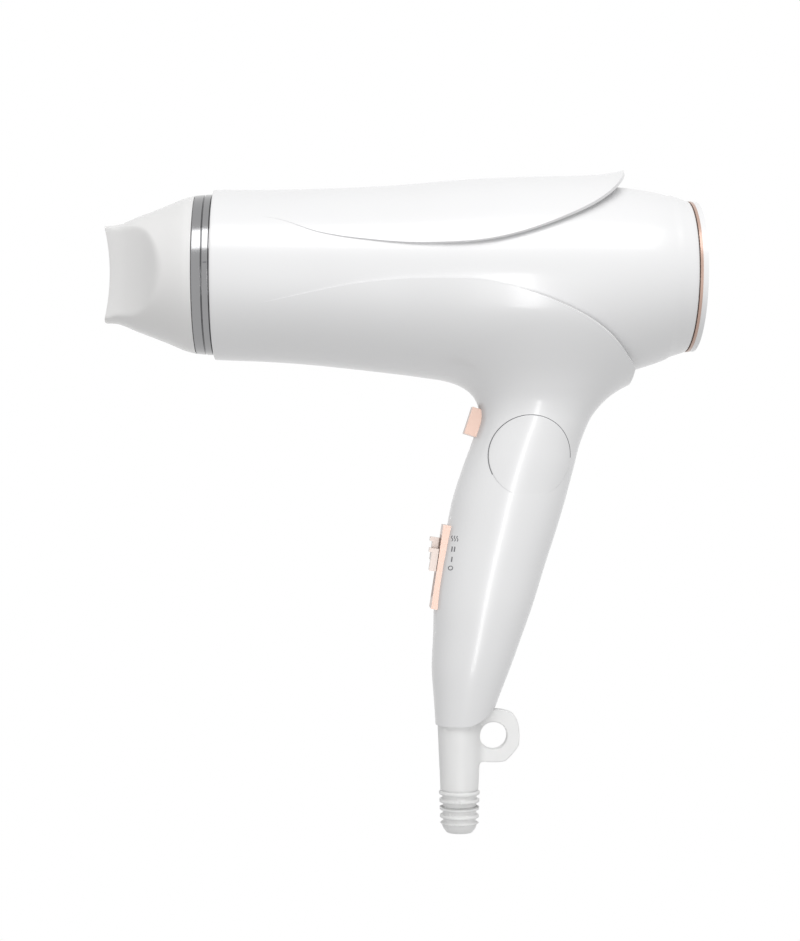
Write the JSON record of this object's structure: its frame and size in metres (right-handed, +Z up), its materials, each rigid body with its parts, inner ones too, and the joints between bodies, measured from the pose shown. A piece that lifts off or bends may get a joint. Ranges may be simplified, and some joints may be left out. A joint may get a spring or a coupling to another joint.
{
  "type": "hair dryer",
  "caption": "Hand-held hair dryer with pistol handle, push-on turning concentrator nozzle, slide switches, cool shot button and removable rear filter.",
  "frame": {"origin": "middle of the hand grip, on the plane where the two casing halves meet", "axes": "+Z up along the grip towards the barrel, -X the way the air blows, +X towards the air inlet, +Y to the right of someone who holds it and looks along the air flow"},
  "size_m": [0.2233, 0.0786, 0.2521],
  "materials": {
    "pearl_white": "gloss",
    "chrome_band": "polished",
    "nozzle_grey": "satin",
    "rose_gold": "satin",
    "knob_beige": "satin",
    "dark_plastic": "matte",
    "grille_grey": "matte",
    "steel": "satin",
    "bronze_bush": "satin",
    "ferrite": "matte",
    "copper_winding": "satin",
    "mica": "matte",
    "resistance_wire": "satin",
    "potting": "matte",
    "board": "matte",
    "film_yellow": "satin",
    "soft_white": "satin",
    "clamp_white": "matte"
  },
  "bodies": {
    "casing": {"casing_left": "pearl_white", "casing_right": "pearl_white", "top_cover": "pearl_white", "lower_cover": "pearl_white", "front_panel_upper": "pearl_white", "front_panel_lower": "pearl_white", "switch_plate": "rose_gold", "front_grille": "dark_plastic", "fan_duct": "dark_plastic", "speed_switch": "dark_plastic", "heat_switch": "dark_plastic", "cool_switch": "dark_plastic", "rectifier": "dark_plastic", "motor_can": "steel", "cool_spring": "steel", "handle_screws": "steel", "thermostat": "steel", "thermal_fuse": "steel", "ion_needle": "steel", "motor_bearings": "bronze_bush", "motor_magnets": "ferrite", "choke": "ferrite", "heater_tube": "mica", "mica_board_upright": "mica", "mica_board_flat": "mica", "heating_wire": "resistance_wire", "ion_module": "potting", "control_board": "board", "capacitor": "film_yellow", "cord_sleeve": "soft_white", "cord_clamp": "clamp_white"},
    "filter": {"filter_frame": "pearl_white", "filter_ring": "rose_gold", "rear_grille": "grille_grey", "filter_mesh": "steel"},
    "fan": {"fan_impeller": "dark_plastic", "motor_shaft": "steel", "motor_rotor": "copper_winding"},
    "collar": {"nozzle_collar": "chrome_band"},
    "nozzle": {"nozzle_shell": "nozzle_grey"},
    "speed_slider": {"speed_knob": "knob_beige"},
    "heat_slider": {"heat_knob": "knob_beige"},
    "cool_shot": {"cool_button": "rose_gold"}
  },
  "joints": [
    {"name": "nozzle_pull", "type": "slide", "parent": "casing", "child": "collar", "axis": [-1, 0, 0], "range_m": [0, 0.014]},
    {"name": "nozzle_turn", "type": "hinge", "parent": "collar", "child": "nozzle", "pos_m": [-0.112, 0, 0.1193], "axis": [-1, 0, 0], "continuous": true},
    {"name": "filter_pull", "type": "slide", "parent": "casing", "child": "filter", "axis": [1, 0, 0], "range_m": [0, 0.014]},
    {"name": "fan_spin", "type": "hinge", "parent": "casing", "child": "fan", "pos_m": [0.03, 0, 0.1193], "axis": [1, 0, 0], "continuous": true},
    {"name": "speed_slide", "type": "slide", "parent": "casing", "child": "speed_slider", "axis": [0.1478, 0, 0.989], "range_m": [-0.0036, 0.0036]},
    {"name": "heat_slide", "type": "slide", "parent": "casing", "child": "heat_slider", "axis": [0.1478, 0, 0.989], "range_m": [-0.0072, 0]},
    {"name": "cool_press", "type": "slide", "parent": "casing", "child": "cool_shot", "axis": [0.9511, 0, -0.309], "range_m": [0, 0.0025], "stiffness_N_per_m": 400, "springref_m": -0.001, "deforming": ["cool_spring"]}
  ]
}
